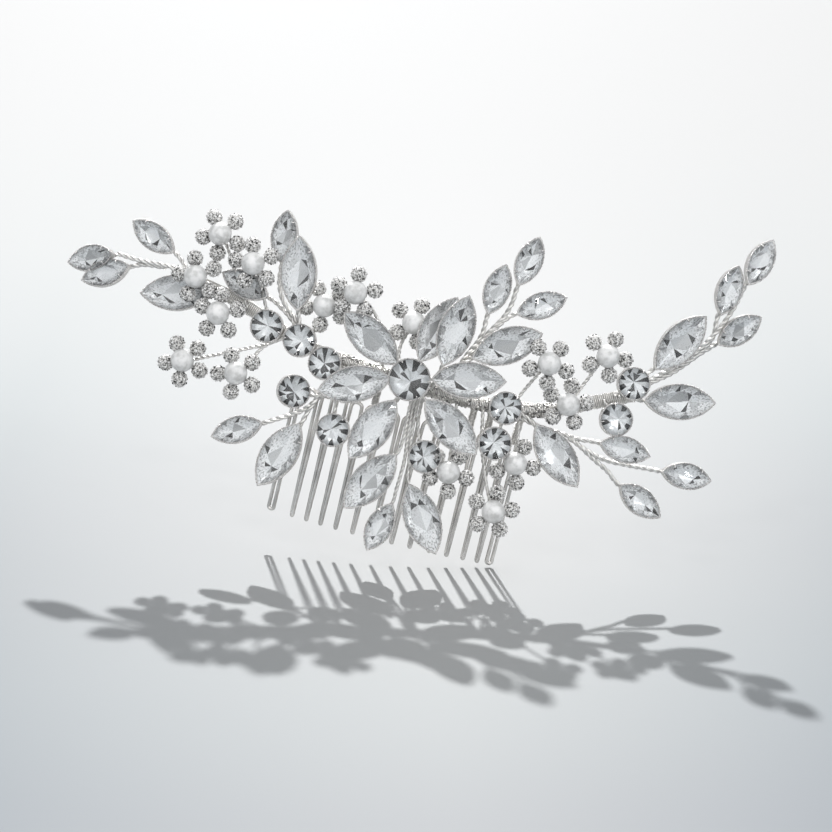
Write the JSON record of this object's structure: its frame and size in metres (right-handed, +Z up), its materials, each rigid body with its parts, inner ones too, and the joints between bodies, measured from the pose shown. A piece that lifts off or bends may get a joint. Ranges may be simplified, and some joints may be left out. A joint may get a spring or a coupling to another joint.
{
  "type": "decorative hair comb",
  "caption": "Bridal hair comb: a bent-wire comb of hairpin teeth under a bowed spray of navette and round crystals, pearl flowers and twisted-wire sprigs.",
  "frame": {"origin": "middle of the row of teeth at the height of the comb's top loops, where the comb enters the hair", "axes": "+X along the row of teeth to the viewer's right, +Z up from the tips of the teeth to the spray, decorated face towards -Y"},
  "size_m": [0.1486, 0.0287, 0.0821],
  "materials": {
    "comb_steel": "polished wire",
    "post_wire": "bright drawn wire",
    "lashing_wire": "fine bright wire, closely wound",
    "band_metal": "satin silver plate",
    "stem_wire": "bright silver-plated wire, twisted",
    "frame_metal": "silver plate",
    "setting_metal": "silver plate, lightly textured rim",
    "pave": "domes set with tiny clear stones",
    "pearl": "satiny pearl coating",
    "round_crystal": "foil-backed brilliant cut",
    "navette_crystal": "foil-backed, few large facets"
  },
  "bodies": {
    "root": {"band": "band_metal", "band_wrap": "lashing_wire", "centre_crystal": "round_crystal", "centre_drop_stems": "stem_wire", "centre_setting": "setting_metal", "comb_posts": "post_wire", "comb_wire": "comb_steel", "drop_crystals": "navette_crystal", "drop_settings": "setting_metal", "left_flower_beads": "pave", "left_flower_frames": "frame_metal", "left_flower_stems": "stem_wire", "left_leaf_crystals": "navette_crystal", "left_leaf_settings": "setting_metal", "left_leaf_stems": "stem_wire", "left_lower_crystals": "navette_crystal", "left_lower_settings": "setting_metal", "left_lower_stems": "stem_wire", "left_pearls": "pearl", "left_round_crystals": "round_crystal", "left_round_settings": "setting_metal", "left_tip_crystals": "navette_crystal", "left_tip_settings": "setting_metal", "left_upper_stems": "stem_wire", "left_upright_crystals": "navette_crystal", "left_upright_settings": "setting_metal", "petal_crystal_1": "navette_crystal", "petal_crystal_2": "navette_crystal", "petal_crystal_3": "navette_crystal", "petal_crystal_4": "navette_crystal", "petal_crystal_5": "navette_crystal", "petal_crystal_6": "navette_crystal", "petal_crystal_7": "navette_crystal", "petal_crystal_8": "navette_crystal", "petal_setting_1": "setting_metal", "petal_setting_2": "setting_metal", "petal_setting_3": "setting_metal", "petal_setting_4": "setting_metal", "petal_setting_5": "setting_metal", "petal_setting_6": "setting_metal", "petal_setting_7": "setting_metal", "petal_setting_8": "setting_metal", "petal_stems": "stem_wire", "post_lashing": "lashing_wire", "right_flower_beads": "pave", "right_flower_frames": "frame_metal", "right_flower_stems": "stem_wire", "right_lower_crystals": "navette_crystal", "right_lower_settings": "setting_metal", "right_lower_stems": "stem_wire", "right_pearls": "pearl", "right_round_crystals": "round_crystal", "right_round_settings": "setting_metal", "right_spray_crystals": "navette_crystal", "right_spray_settings": "setting_metal", "right_upper_stems": "stem_wire", "top_sprig_crystals": "navette_crystal", "top_sprig_settings": "setting_metal", "top_sprig_stems": "stem_wire"}
  },
  "joints": []
}
